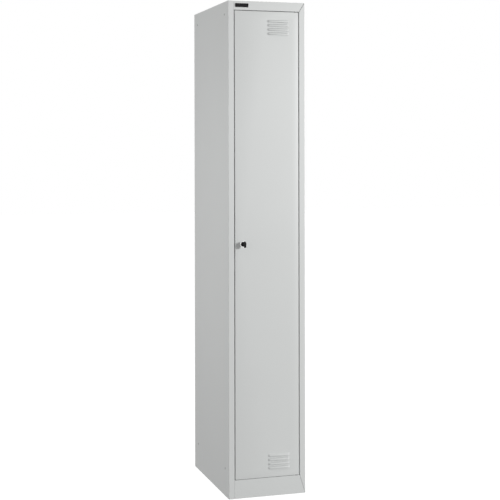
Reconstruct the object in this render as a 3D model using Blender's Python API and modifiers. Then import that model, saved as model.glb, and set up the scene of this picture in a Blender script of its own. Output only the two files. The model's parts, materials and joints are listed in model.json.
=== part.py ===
"""Single-door steel locker cabinet: folded sheet carcass, door with pressed louvres, cam lock with key,
hat shelf, coat rail and sliding hooks.

Metres. X runs to the right, Y from front to back, Z up. Shapes are drawn with y = 0 on the front face,
and everything hangs on one empty that puts the origin under the middle of the overall box.
"""

import math

import bmesh
import bpy
from mathutils import Matrix, Vector

# Carcass
WIDTH = 0.300
DEPTH = 0.500
HEIGHT = 1.850
SHEET = 0.0008
BEND = 0.0005  # inner radius of every fold
FOLD_STEPS = 3
FIT = 0.0003  # gap between pieces that touch
THROUGH = 4 * SHEET  # length of a drill that goes through one sheet
STILE = 0.022
HEADER = 0.034
PLINTH = 0.069
RETURN_DEPTH = 0.0205  # from the front face to the stop lip
LIP = 0.014  # width of the stop lip beside the door
RAIL_LIP = 0.012  # height of the stop lip above and below the door
REAR_FLANGE = 0.016
PANEL_FLANGE = 0.024  # side flanges of the top and the base
FOOT_FLANGE = 0.020
MITRE_GAP = 0.0014

# Door
DOOR_GAP = 0.003  # at the door's two sides
DOOR_GAP_TOP = 0.0021
DOOR_GAP_LOW = 0.0015
DOOR_DEPTH = 0.016
DOOR_LIP = 0.012
HINGE_FROM_EDGE = 0.010
HINGE_FROM_FRONT = 0.006
STIFFENER_X = -0.040
STIFFENER_WIDTH = 0.034
STIFFENER_FLANGE = 0.012
STIFFENER_DEPTH = 0.012
STIFFENER_INSET = 0.022

# Louvres, pressed outwards and open underneath
LOUVRE_LEFT = 0.001
LOUVRE_RIGHT = 0.088
LOUVRE_COUNT = 4
LOUVRE_PITCH = 0.0155
LOUVRE_HEIGHT = 0.009
LOUVRE_REACH = 0.005
LOUVRE_END = 0.008  # length of the rounded end
LOUVRE_FULL = 0.55  # share of its height at which a louvre is fully out
LOUVRE_LIFT = 0.0005
LOUVRE_FROM_END = 0.059  # middle of a group, from the end of the door
LOUVRE_STEPS = 4

# Hinge
PIN_RADIUS = 0.0025
BUSH_BORE = 0.00257
BUSH_RADIUS = 0.0038
BUSH_FLANGE_RADIUS = 0.0055
PIN_HEAD_RADIUS = 0.0045
PIN_HEAD_THICK = 0.002
PIN_TIP = 0.011
PIN_CHAMFER = 0.0005
BUSH_FLANGE_THICK = 0.0012
BUSH_TAIL = 0.004
BRACKET_THICK = 0.002
BRACKET_LENGTH = 0.032

# Lock and key
LOCK_X = -0.094
LOCK_Z = 0.945
HOUSING_RADIUS = 0.0104
RING_RADIUS = 0.012
RING_REACH = 0.0030
RING_CHAMFER = 0.0008
HOUSING_END = 0.0170
NUT_RADIUS = 0.0145
NUT_THICK = 0.004
NUT_BORE_LENGTH = 0.010
FACE_PROUD = 0.0002  # of the ring
FACE_THICK = 0.0015
FACE_CHAMFER = 0.0004
LOCK_PLUG_RADIUS = 0.0088
LOCK_PLUG_PLAY = 0.00006
LOCK_PLUG_END = 0.0210
CAM_FRONT = 0.0220
CAM_THICK = 0.002
CAM_LENGTH = 0.030
CAM_WIDTH = 0.014
SHANK = 0.008
SHANK_ROOT = 0.001  # length of the shank inside the plug
SCREW_RADIUS = 0.0019
SCREW_BORE = 0.0022
SCREW_BORE_LENGTH = 0.006
SCREW_LENGTH = 0.0022
SCREW_HEAD_RADIUS = 0.0060
SCREW_HEAD_THICK = 0.0022
SCREW_CROWN_RADIUS = 0.0045
SCREW_CROWN = 0.0010
KEY_REACH = 0.037
KEY_THICK = 0.002
KEY_HEIGHT = 0.0075
KEY_DEPTH = 0.016
KEY_PLAY = 0.0003
BOW_HEIGHT = 0.023
BOW_LENGTH = 0.024
BOW_THICK = 0.0034
BOW_CORNER = 0.00874
BOW_HOLE_RADIUS = 0.002
BOW_HOLE_FROM_END = 0.0055
BLADE_IN_BOW = 0.010
KEY_CUTS = 4
KEY_CUT_FIRST = 0.003  # from the tip
KEY_CUT_PITCH = 0.0032
KEY_CUT_DEPTH = 0.0009
KEY_CUT_STEP = 0.0002  # every second cut is this much deeper

# Inside
SHELF_Z = 1.530
SHELF_FRONT = 0.032
SHELF_FLANGE = 0.020
SHELF_LIP = 0.008
CLIP_LENGTH = 0.026
CLIP_LEG = 0.016
CLIP_FROM_END = 0.060
RAIL_Z = 1.462
RAIL_Y = 0.250
RAIL_RADIUS = 0.008
RAIL_WALL = 0.0015
SOCKET_RADIUS = 0.0105
SOCKET_DEPTH = 0.012
SOCKET_BASE_RADIUS = 0.017
SOCKET_BASE_THICK = 0.002
HOOK_WIRE = 0.0015
HOOK_DROP = 0.020
HOOK_RADIUS = 0.010
HOOK_X = 0.060
HOOK_EYE_START = 250  # degrees from +Y towards +Z
HOOK_EYE_END = -70
HOOK_TIP = -205

# Small parts outside
LABEL_LEFT = -0.123
LABEL_WIDTH = 0.051
LABEL_HEIGHT = 0.0142
LABEL_Z = 1.8336
LABEL_THICK = 0.0018
LABEL_RIM = 0.0018
LABEL_POCKET = 0.0010
CARD_SET_BACK = 0.0002
JOIN_HOLE_RADIUS = 0.0045
JOIN_HOLE_Y = 0.053  # from the front and from the back
JOIN_HOLE_TOP = 0.047
JOIN_HOLE_BOTTOM = 0.103
PLUG_HEAD_RADIUS = 0.0065
PLUG_HEAD_THICK = 0.0010
PLUG_CROWN_RADIUS = 0.0052
PLUG_SET_BACK = 0.0001  # outer end of a plug, below the face of the side
BUFFER_RADIUS = 0.0035
BUFFER_CROWN_RADIUS = 0.0028
BUFFER_CROWN = 0.0006
BUFFER_Z = (0.240, 0.940, 1.640)
ROUND_SIDES = 24
LOCK_SIDES = 32
SMOOTH_ANGLE = 35

# Worked out from the above
HALF = WIDTH / 2
OPENING_X = HALF - STILE
LIP_X = OPENING_X - LIP
OPENING_LOW = PLINTH
OPENING_HIGH = HEIGHT - HEADER
DOOR_X = OPENING_X - DOOR_GAP
DOOR_LOW = OPENING_LOW + DOOR_GAP_LOW
DOOR_HIGH = OPENING_HIGH - DOOR_GAP_TOP
INSIDE_X = HALF - SHEET
BACK_FACE = DEPTH - SHEET - FIT  # rear face of the back panel
SHELL_Y = BACK_FACE - SHEET - FIT  # where pieces in front of the back panel end
HINGE = Vector((DOOR_X - HINGE_FROM_EDGE, HINGE_FROM_FRONT, 0))
LOCK = Vector((LOCK_X, 0, LOCK_Z))
FRONT_Y = -(DEPTH + KEY_REACH) / 2 + KEY_REACH


def clear_scene():
    for obj in list(bpy.data.objects):
        bpy.data.objects.remove(obj, do_unlink=True)


def new_collection(name):
    collection = bpy.data.collections.new(name)
    bpy.context.scene.collection.children.link(collection)
    return collection


def new_material(name, color, roughness, metallic=0.0):
    material = bpy.data.materials.new(name)
    material.use_nodes = True
    material.diffuse_color = (*color, 1)
    shader = material.node_tree.nodes["Principled BSDF"]
    shader.inputs["Base Color"].default_value = (*color, 1)
    shader.inputs["Roughness"].default_value = roughness
    shader.inputs["Metallic"].default_value = metallic
    return material


clear_scene()
PARTS = new_collection("locker_cabinet")
CUTTERS = new_collection("cutters")
PAINT = new_material("light_grey_paint", (0.60, 0.63, 0.61), 0.42)
ZINC = new_material("zinc_plate", (0.62, 0.62, 0.60), 0.35, 1.0)
CHROME = new_material("bright_chrome", (0.80, 0.80, 0.80), 0.12, 1.0)
BLACK = new_material("black_plastic", (0.012, 0.012, 0.013), 0.38)
GREY = new_material("grey_plastic", (0.32, 0.33, 0.32), 0.45)
DARK_CARD = new_material("dark_card", (0.03, 0.03, 0.032), 0.6)
RUBBER = new_material("black_rubber", (0.02, 0.02, 0.02), 0.75)


def add_empty(name, at, parent=None):
    """An empty at a point drawn from the front face, and the point kept for the pieces that hang on it."""
    empty = bpy.data.objects.new(name, None)
    PARTS.objects.link(empty)
    empty["at"] = tuple(at)
    hang(empty, at, parent)
    return empty


def hang(obj, at, parent):
    obj.parent = parent
    obj.location = Vector(at) - Vector(parent["at"]) if parent else Vector(at) + Vector((0, FRONT_Y, 0))


CABINET = add_empty("cabinet_frame", (0, 0, 0))
DOOR_AXIS = add_empty("door_axis", HINGE, CABINET)
LOCK_AXIS = add_empty("lock_axis", LOCK, DOOR_AXIS)


def add_node(name, bm, material, parent=CABINET, at=(0, 0, 0)):
    mesh = bpy.data.meshes.new(name)
    bm.to_mesh(mesh)
    bm.free()
    mesh.materials.append(material)
    mesh.shade_smooth()
    mesh.set_sharp_from_angle(angle=math.radians(SMOOTH_ANGLE))
    obj = bpy.data.objects.new(name, mesh)
    PARTS.objects.link(obj)
    hang(obj, at, parent)
    return obj


def add_box(bm, low, high):
    low, high = Vector(low), Vector(high)
    matrix = Matrix.Translation((low + high) / 2) @ Matrix.Diagonal((*(high - low), 1))
    return bmesh.ops.create_cube(bm, size=1, matrix=matrix)["verts"]


def add_cylinder(bm, middle, axis, radius, length, sides=ROUND_SIDES):
    turn = Vector((0, 0, 1)).rotation_difference(Vector(axis)).to_matrix().to_4x4()
    bmesh.ops.create_cone(
        bm,
        cap_ends=True,
        segments=sides,
        radius1=radius,
        radius2=radius,
        depth=length,
        matrix=Matrix.Translation(middle) @ turn,
    )


def add_slanted_box(bm, inner, outer, side, back):
    """A box beside the mitre line between two (x, z) points, from in front of the face to y = back."""
    inner, outer = Vector(inner), Vector(outer)
    along = (outer - inner).normalized()
    across = Vector((along.y, -along.x)) * side
    reach = 3 * (outer - inner).length
    start = inner - along * reach / 3 - across * MITRE_GAP / 2
    middle = start + along * reach / 2 + across * reach / 2
    length = Vector((along.x, 0, along.y)) * reach
    width = Vector((across.x, 0, across.y)) * reach
    matrix = Matrix((length, (0, 2 * back, 0), width)).transposed().to_4x4()
    matrix.translation = (middle.x, 0, middle.y)
    bmesh.ops.create_cube(bm, size=1, matrix=matrix)


def boolean(obj, operation, bm):
    """Cuts or joins the solids in bm, which are drawn in the object's own coordinates."""
    bmesh.ops.recalc_face_normals(bm, faces=bm.faces[:])
    name = f"{obj.name}_{operation.lower()}"
    mesh = bpy.data.meshes.new(name)
    bm.to_mesh(mesh)
    bm.free()
    helper = bpy.data.objects.new(name, mesh)
    CUTTERS.objects.link(helper)
    helper.parent = obj
    helper.hide_render = True
    helper.display_type = "WIRE"
    modifier = obj.modifiers.new(name, "BOOLEAN")
    modifier.operation = operation
    modifier.use_self = True
    modifier.object = helper


def solidify(obj):
    modifier = obj.modifiers.new("sheet", "SOLIDIFY")
    modifier.thickness = SHEET
    modifier.offset = -1
    modifier.use_even_offset = True


def rounded(path):
    """The path with each right-angled corner made an arc, for a sheet that lies on the path's left."""
    points = [Vector(point) for point in path]
    smooth = [points[0]]
    for before, corner, after in zip(points, points[1:], points[2:]):
        into = (corner - before).normalized()
        away = (after - corner).normalized()
        radius = BEND + SHEET if into.cross(away) > 0 else BEND
        centre = corner + (away - into) * radius
        for step in range(FOLD_STEPS + 1):
            angle = math.pi / 2 * step / FOLD_STEPS
            smooth.append(centre - away * radius * math.cos(angle) + into * radius * math.sin(angle))
    return smooth + [points[-1]]


def folded_sheet(name, path, along, low, high, parent=CABINET):
    """A sheet folded along a path in XY, drawn out along Z, or along a path in YZ, drawn out along X."""
    bm = bmesh.new()
    if along == "Z":
        verts = [bm.verts.new((point.x, point.y, low)) for point in rounded(path)]
        step = Vector((0, 0, high - low))
    else:
        verts = [bm.verts.new((low, point.x, point.y)) for point in rounded(path)]
        step = Vector((high - low, 0, 0))
    edges = [bm.edges.new(pair) for pair in zip(verts, verts[1:])]
    drawn = bmesh.ops.extrude_edge_only(bm, edges=edges)["geom"]
    bmesh.ops.translate(bm, vec=step, verts=[item for item in drawn if isinstance(item, bmesh.types.BMVert)])
    bm.normal_update()
    first = edges[0].link_faces[0]
    outside = (verts[1].co - verts[0].co).cross(step)
    if first.normal.dot(outside) < 0:
        bmesh.ops.reverse_faces(bm, faces=bm.faces[:])
    obj = add_node(name, bm, PAINT, parent)
    solidify(obj)
    return obj


def tray_surface(low, high, open_axis, open_sign, lip):
    """The outer surface of a box that is open on one side, with lips folded in round the opening."""
    bm = bmesh.new()
    add_box(bm, low, high)
    bm.normal_update()
    lid = max(bm.faces, key=lambda face: face.normal[open_axis] * open_sign)
    middle = lid.calc_center_median()
    bmesh.ops.delete(bm, geom=[lid], context="FACES_ONLY")
    rim = [edge for edge in bm.edges if edge.is_boundary]
    drawn = bmesh.ops.extrude_edge_only(bm, edges=rim)["geom"]
    for vert in (item for item in drawn if isinstance(item, bmesh.types.BMVert)):
        for axis in range(3):
            if axis != open_axis:
                vert.co[axis] -= math.copysign(lip, vert.co[axis] - middle[axis])
    bm.normal_update()
    folds = [edge for edge in bm.edges if len(edge.link_faces) == 2 and edge.calc_face_angle() > 1]
    bmesh.ops.bevel(bm, geom=folds, offset=BEND + SHEET, segments=FOLD_STEPS, profile=0.5, affect="EDGES")
    bmesh.ops.recalc_face_normals(bm, faces=bm.faces[:])
    bottom = max(bm.faces, key=lambda face: face.calc_area())
    if bottom.normal[open_axis] * open_sign > 0:
        bmesh.ops.reverse_faces(bm, faces=bm.faces[:])
    return bm


def turned(name, profile, material, parent, at, rotation=(0, 0, 0), closed=False, sides=ROUND_SIDES):
    """A solid turned about its own Z. The profile is (radius, z), down the outside and back up a bore."""
    bm = bmesh.new()
    verts = [bm.verts.new((radius, 0, z)) for radius, z in profile]
    for pair in zip(verts, verts[1:] + verts[:1] if closed else verts[1:]):
        bm.edges.new(pair)
    obj = add_node(name, bm, material, parent, at)
    obj.rotation_euler = rotation
    screw = obj.modifiers.new("turn", "SCREW")
    screw.steps = sides
    screw.render_steps = sides
    screw.use_merge_vertices = True
    screw.merge_threshold = 0.00001
    screw.use_normal_calculate = False
    return obj


# Turns a piece's own Z to point out of the front, along -Y
FACING_FRONT = (math.pi / 2, 0, 0)
MITRE_TOP = ((OPENING_X, OPENING_HIGH), (HALF, HEIGHT))
MITRE_BOTTOM = ((OPENING_X, OPENING_LOW), (HALF, 0))


def make_side_panels():
    """Each side is one sheet with its front stile, return and stop lip; only the right stile is mitred."""
    path = [
        (-HALF + REAR_FLANGE, DEPTH),
        (-HALF, DEPTH),
        (-HALF, 0),
        (-OPENING_X, 0),
        (-OPENING_X, RETURN_DEPTH),
        (-LIP_X, RETURN_DEPTH),
    ]
    mirrored = [(-x, y) for x, y in reversed(path)]
    for name, side, line in (("side_panel_left", -1, path), ("side_panel_right", 1, mirrored)):
        panel = folded_sheet(name, line, "Z", 0, HEIGHT)
        bm = bmesh.new()
        # The return and the lip stop under the top panel.
        inner = sorted((side * (LIP_X - FIT), side * (HALF - SHEET - BEND - FIT)))
        high = (inner[1], RETURN_DEPTH + 2 * SHEET, HEIGHT + SHEET)
        add_box(bm, (inner[0], SHEET + FIT, HEIGHT - SHEET - FIT), high)
        for y in (JOIN_HOLE_Y, DEPTH - JOIN_HOLE_Y):
            for z in (JOIN_HOLE_BOTTOM, HEIGHT - JOIN_HOLE_TOP):
                add_cylinder(bm, (side * HALF, y, z), (1, 0, 0), JOIN_HOLE_RADIUS, THROUGH)
        boolean(panel, "DIFFERENCE", bm)
        if side > 0:
            bm = bmesh.new()
            add_slanted_box(bm, *MITRE_TOP, -1, SHEET + BEND)
            add_slanted_box(bm, *MITRE_BOTTOM, 1, SHEET + BEND)
            boolean(panel, "DIFFERENCE", bm)


def front_notches(bm, low, high):
    """Room in a rail between z = low and high for the returns and stop lips of both sides."""
    back = RETURN_DEPTH + SHEET + FIT
    for side in (-1, 1):
        beside = sorted((side * (OPENING_X - FIT), side * (HALF + SHEET)))
        add_box(bm, (beside[0], -SHEET if side < 0 else SHEET + FIT, low), (beside[1], back, high))
        behind = sorted((side * (LIP_X - FIT), side * (OPENING_X - FIT / 2)))
        add_box(bm, (behind[0], RETURN_DEPTH - FIT, low + FIT), (behind[1], back + FIT, high - FIT / 3))


def make_top_panel():
    """The roof, folded down into the header rail and its stop lip, with flanges inside the sides."""
    path = [
        (BACK_FACE, HEIGHT),
        (0, HEIGHT),
        (0, OPENING_HIGH),
        (RETURN_DEPTH, OPENING_HIGH),
        (RETURN_DEPTH, OPENING_HIGH - RAIL_LIP),
    ]
    reach = INSIDE_X - FIT
    panel = folded_sheet("top_panel", path, "X", -reach, reach)
    bm = bmesh.new()
    for side in (-1, 1):
        wall = sorted((side * reach, side * (reach - SHEET)))
        low = (wall[0], RETURN_DEPTH + 3 * SHEET, HEIGHT - PANEL_FLANGE)
        add_box(bm, low, (wall[1], SHELL_Y - PANEL_FLANGE, HEIGHT - SHEET / 2))
    boolean(panel, "UNION", bm)
    bm = bmesh.new()
    front_notches(bm, OPENING_HIGH - 2 * RAIL_LIP, HEIGHT - SHEET - FIT / 3)
    add_cylinder(bm, (HINGE.x, HINGE.y, OPENING_HIGH), (0, 0, 1), PIN_RADIUS + FIT, THROUGH)
    boolean(panel, "DIFFERENCE", bm)
    bm = bmesh.new()
    add_box(bm, (-HALF, -SHEET, OPENING_HIGH), (-OPENING_X + FIT, SHEET + FIT, HEIGHT + SHEET))
    add_slanted_box(bm, *MITRE_TOP, 1, SHEET + 2 * FIT)
    boolean(panel, "DIFFERENCE", bm)


def make_base_panel():
    """The floor, folded down into its stop lip, the plinth rail and a foot flange."""
    floor_z = OPENING_LOW + RAIL_LIP
    path = [
        (SHELL_Y, floor_z - PANEL_FLANGE),
        (SHELL_Y, floor_z),
        (RETURN_DEPTH, floor_z),
        (RETURN_DEPTH, OPENING_LOW),
        (0, OPENING_LOW),
        (0, 0),
        (FOOT_FLANGE, 0),
    ]
    reach = INSIDE_X - FIT
    panel = folded_sheet("base_panel", path, "X", -reach, reach)
    bm = bmesh.new()
    for side in (-1, 1):
        wall = sorted((side * reach, side * (reach - SHEET)))
        low = (wall[0], RETURN_DEPTH + 3 * SHEET, floor_z - PANEL_FLANGE)
        add_box(bm, low, (wall[1], SHELL_Y - PANEL_FLANGE, floor_z - SHEET / 2))
    boolean(panel, "UNION", bm)
    bm = bmesh.new()
    front_notches(bm, -SHEET, floor_z + SHEET)
    add_cylinder(bm, (HINGE.x, HINGE.y, OPENING_LOW), (0, 0, 1), PIN_RADIUS + FIT, THROUGH)
    boolean(panel, "DIFFERENCE", bm)
    bm = bmesh.new()
    add_slanted_box(bm, *MITRE_BOTTOM, -1, SHEET + 2 * FIT)
    boolean(panel, "DIFFERENCE", bm)


def make_back_panel():
    bm = bmesh.new()
    reach = INSIDE_X - FIT
    add_box(bm, (-reach, BACK_FACE - SHEET, 0), (reach, BACK_FACE, HEIGHT - SHEET - FIT))
    add_node("back_panel", bm, PAINT)


def make_shelf():
    reach = INSIDE_X - FIT
    low = (-reach, SHELF_FRONT, SHELF_Z - SHELF_FLANGE)
    bm = tray_surface(low, (reach, SHELL_Y, SHELF_Z), 2, -1, SHELF_LIP)
    solidify(add_node("hat_shelf", bm, PAINT))
    top = SHELF_Z - SHELF_FLANGE - FIT
    for side_name, side in (("left", -1), ("right", 1)):
        path = [(side * (reach - CLIP_LEG), top), (side * reach, top), (side * reach, top - CLIP_LEG)]
        for end_name, y in (("front", SHELF_FRONT + CLIP_FROM_END), ("rear", SHELL_Y - CLIP_FROM_END)):
            make_clip(f"shelf_clip_{side_name}_{end_name}", path, side, y)


def make_clip(name, path, side, y):
    """An angle under the shelf: one leg on the side wall and one leg level."""
    bm = bmesh.new()
    (inner, top), (wall, _), (_, bottom) = path
    flat = sorted((inner, wall))
    upright = sorted((wall, wall - side * SHEET))
    add_box(bm, (flat[0], y - CLIP_LENGTH / 2, top - SHEET), (flat[1], y + CLIP_LENGTH / 2, top))
    obj = add_node(name, bm, ZINC)
    bm = bmesh.new()
    add_box(bm, (upright[0], y - CLIP_LENGTH / 2, bottom), (upright[1], y + CLIP_LENGTH / 2, top - SHEET / 2))
    boolean(obj, "UNION", bm)


def make_coat_rail():
    end = INSIDE_X - FIT - SOCKET_BASE_THICK
    bore = RAIL_RADIUS - RAIL_WALL
    reach = end - FIT
    profile = [(RAIL_RADIUS, reach), (RAIL_RADIUS, -reach), (bore, -reach), (bore, reach)]
    along_x = (0, math.pi / 2, 0)
    turned("coat_rail", profile, CHROME, CABINET, (0, RAIL_Y, RAIL_Z), along_x, closed=True)
    socket = [
        (SOCKET_RADIUS, SOCKET_BASE_THICK + SOCKET_DEPTH),
        (SOCKET_RADIUS, SOCKET_BASE_THICK),
        (SOCKET_BASE_RADIUS, SOCKET_BASE_THICK),
        (SOCKET_BASE_RADIUS, 0),
        (0, 0),
        (0, SOCKET_BASE_THICK),
        (RAIL_RADIUS + FIT, SOCKET_BASE_THICK),
        (RAIL_RADIUS + FIT, SOCKET_BASE_THICK + SOCKET_DEPTH),
    ]
    for name, side in (("left", -1), ("right", 1)):
        at = (side * (INSIDE_X - FIT), RAIL_Y, RAIL_Z)
        turn = (0, -side * math.pi / 2, 0)
        turned(f"rail_socket_{name}", socket, CHROME, CABINET, at, turn, closed=True)


def arc(middle, radius, start, stop, steps):
    """Points of an arc in the YZ plane; the angles are in degrees from +Y towards +Z."""
    angles = [math.radians(start + (stop - start) * step / steps) for step in range(steps + 1)]
    across, up = middle
    return [(0, across + radius * math.cos(angle), up + radius * math.sin(angle)) for angle in angles]


def make_hook(name, x):
    """Bent wire: an eye round the rail, a neck, a straight drop and a hook that opens to the front."""
    eye = RAIL_RADIUS + 2 * FIT + HOOK_WIRE
    leave = math.radians(HOOK_EYE_END)
    neck = eye * math.cos(leave) / (1 - math.cos(leave))
    neck_middle = ((eye + neck) * math.cos(leave), (eye + neck) * math.sin(leave))
    points = arc((0, 0), eye, HOOK_EYE_START, HOOK_EYE_END, 14)
    points += arc(neck_middle, neck, HOOK_EYE_END + 180, 180, 4)[1:]
    points += arc((-HOOK_RADIUS, -eye - HOOK_DROP), HOOK_RADIUS, 0, HOOK_TIP, 9)
    curve = bpy.data.curves.new(name, "CURVE")
    curve.dimensions = "3D"
    curve.bevel_depth = HOOK_WIRE
    curve.bevel_resolution = 2
    curve.use_fill_caps = True
    spline = curve.splines.new("POLY")
    spline.points.add(len(points) - 1)
    for spot, point in zip(spline.points, points):
        spot.co = (*point, 1)
    curve.materials.append(ZINC)
    obj = bpy.data.objects.new(name, curve)
    PARTS.objects.link(obj)
    hang(obj, (x, RAIL_Y, RAIL_Z), CABINET)


def faces_within(bm, low, high):
    """Faces of the door's front whose middle lies between two (x, z) corners."""
    found = []
    for face in bm.faces:
        middle = face.calc_center_median()
        inside = low[0] < middle.x < high[0] and low[1] < middle.z < high[1]
        if inside and abs(middle.y) < LOUVRE_REACH / 100 and abs(face.normal.y) > 0.99:
            found.append(face)
    return found


def slice_front(bm, low, high, axis, values):
    normal = Vector((1, 0, 0)) if axis == 0 else Vector((0, 0, 1))
    for value in values:
        faces = faces_within(bm, low, high)
        edges = {edge for face in faces for edge in face.edges}
        verts = {vert for face in faces for vert in face.verts}
        geom = faces + list(edges) + list(verts)
        bmesh.ops.bisect_plane(bm, geom=geom, dist=1e-7, plane_co=normal * value, plane_no=normal)


def louvre_columns():
    ends = [LOUVRE_END * (1 - math.cos(math.pi / 2 * k / LOUVRE_STEPS)) for k in range(LOUVRE_STEPS + 1)]
    return [LOUVRE_LEFT + end for end in ends] + [LOUVRE_RIGHT - end for end in reversed(ends)]


def press_louvre(bm, z):
    """Slits the sheet along the bottom of the louvre and presses what is above it outwards."""
    top, bottom = z + LOUVRE_HEIGHT / 2, z - LOUVRE_HEIGHT / 2
    hood = faces_within(bm, (LOUVRE_LEFT, bottom), (LOUVRE_RIGHT, top))
    slit = []
    for edge in {edge for face in hood for edge in face.edges}:
        if all(abs(vert.co.z - bottom) < 1e-6 for vert in edge.verts):
            slit.append(edge)
    bmesh.ops.split_edges(bm, edges=slit)
    for vert in {vert for face in hood for vert in face.verts}:
        from_end = min(vert.co.x - LOUVRE_LEFT, LOUVRE_RIGHT - vert.co.x, LOUVRE_END) / LOUVRE_END
        ends = math.sqrt(max(0, 1 - (1 - from_end) ** 2))
        down = (top - vert.co.z) / LOUVRE_HEIGHT
        vert.co.y -= LOUVRE_REACH * ends * math.sin(math.pi / 2 * min(1, down / LOUVRE_FULL))
        if down > 0.99:
            vert.co.z += LOUVRE_LIFT * ends


def make_door_panel():
    bm = tray_surface((-DOOR_X, 0, DOOR_LOW), (DOOR_X, DOOR_DEPTH, DOOR_HIGH), 1, 1, DOOR_LIP)
    for middle in (DOOR_HIGH - LOUVRE_FROM_END, DOOR_LOW + LOUVRE_FROM_END):
        heights = [middle + (k - (LOUVRE_COUNT - 1) / 2) * LOUVRE_PITCH for k in range(LOUVRE_COUNT)]
        low = (LOUVRE_LEFT - LOUVRE_END, heights[0] - LOUVRE_PITCH)
        high = (LOUVRE_RIGHT + LOUVRE_END, heights[-1] + LOUVRE_PITCH)
        whole_low, whole_high = (-HALF, 0), (HALF, HEIGHT)
        slice_front(bm, whole_low, whole_high, 1, (low[1], high[1]))
        slice_front(bm, (-HALF, low[1]), (HALF, high[1]), 0, (low[0], high[0]))
        slice_front(bm, low, high, 0, louvre_columns())
        for z in heights:
            rows = [z + LOUVRE_HEIGHT * (k / LOUVRE_STEPS - 0.5) for k in range(LOUVRE_STEPS + 1)]
            slice_front(bm, low, high, 1, rows)
        for z in heights:
            press_louvre(bm, z)
    door = add_node("door_panel", bm, PAINT, DOOR_AXIS)
    solidify(door)
    bm = bmesh.new()
    add_cylinder(bm, LOCK, (0, 1, 0), HOUSING_RADIUS + FIT, THROUGH, LOCK_SIDES)
    for z in (DOOR_LOW, DOOR_HIGH):
        add_cylinder(bm, (HINGE.x, HINGE.y, z), (0, 0, 1), BUSH_RADIUS + FIT, THROUGH)
    boolean(door, "DIFFERENCE", bm)


def make_stiffener():
    """A hat channel behind the door's front sheet."""
    front = SHEET + FIT
    back = front + STIFFENER_DEPTH
    half = STIFFENER_WIDTH / 2
    path = [
        (half + STIFFENER_FLANGE, front + SHEET),
        (half, front + SHEET),
        (half, back),
        (-half, back),
        (-half, front + SHEET),
        (-half - STIFFENER_FLANGE, front + SHEET),
    ]
    path = [(STIFFENER_X + x, y) for x, y in path]
    low, high = DOOR_LOW + STIFFENER_INSET, DOOR_HIGH - STIFFENER_INSET
    folded_sheet("door_stiffener", path, "Z", low, high, DOOR_AXIS)


def make_hinge(name, level, up):
    """One end of the hinge: a pin through the rail, held by a bracket, and a bush in the door's flange.

    level is the face of the rail that looks at the door, and up is +1 where the door is above it."""
    at = (HINGE.x, HINGE.y, level)
    bracket_near = -SHEET - FIT
    bracket_far = bracket_near - BRACKET_THICK
    head_near = bracket_far - FIT
    pin = [
        (0, PIN_TIP),
        (PIN_RADIUS - PIN_CHAMFER, PIN_TIP),
        (PIN_RADIUS, PIN_TIP - PIN_CHAMFER),
        (PIN_RADIUS, head_near),
        (PIN_HEAD_RADIUS, head_near),
        (PIN_HEAD_RADIUS, head_near - PIN_HEAD_THICK),
        (0, head_near - PIN_HEAD_THICK),
    ]
    turn = (0, 0, 0) if up > 0 else (math.pi, 0, 0)
    turned(f"hinge_pin_{name}", pin, ZINC, CABINET, at, turn)

    gap = DOOR_GAP_LOW if up > 0 else DOOR_GAP_TOP
    flange_near = FIT if up > 0 else gap - FIT - BUSH_FLANGE_THICK
    flange_far = gap - FIT
    bush_end = gap + SHEET + BUSH_TAIL
    bush = [
        (BUSH_RADIUS, bush_end),
        (BUSH_RADIUS, flange_far),
        (BUSH_FLANGE_RADIUS, flange_far),
        (BUSH_FLANGE_RADIUS, flange_near),
        (BUSH_BORE, flange_near),
        (BUSH_BORE, bush_end),
    ]
    turned(f"hinge_bush_{name}", bush, BLACK, DOOR_AXIS, at, turn, closed=True)

    bm = bmesh.new()
    outer = OPENING_X - HINGE.x - 2 * FIT
    inner = outer - BRACKET_LENGTH
    near, far = SHEET + BEND + FIT - HINGE.y, RETURN_DEPTH - 2 * FIT - HINGE.y
    levels = sorted((up * bracket_near, up * bracket_far))
    add_box(bm, (inner, near, levels[0]), (outer, far, levels[1]))
    bracket = add_node(f"hinge_bracket_{name}", bm, ZINC, CABINET, at)
    bm = bmesh.new()
    add_cylinder(bm, (0, 0, up * bracket_near), (0, 0, 1), PIN_RADIUS + FIT, 4 * BRACKET_THICK)
    boolean(bracket, "DIFFERENCE", bm)


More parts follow.
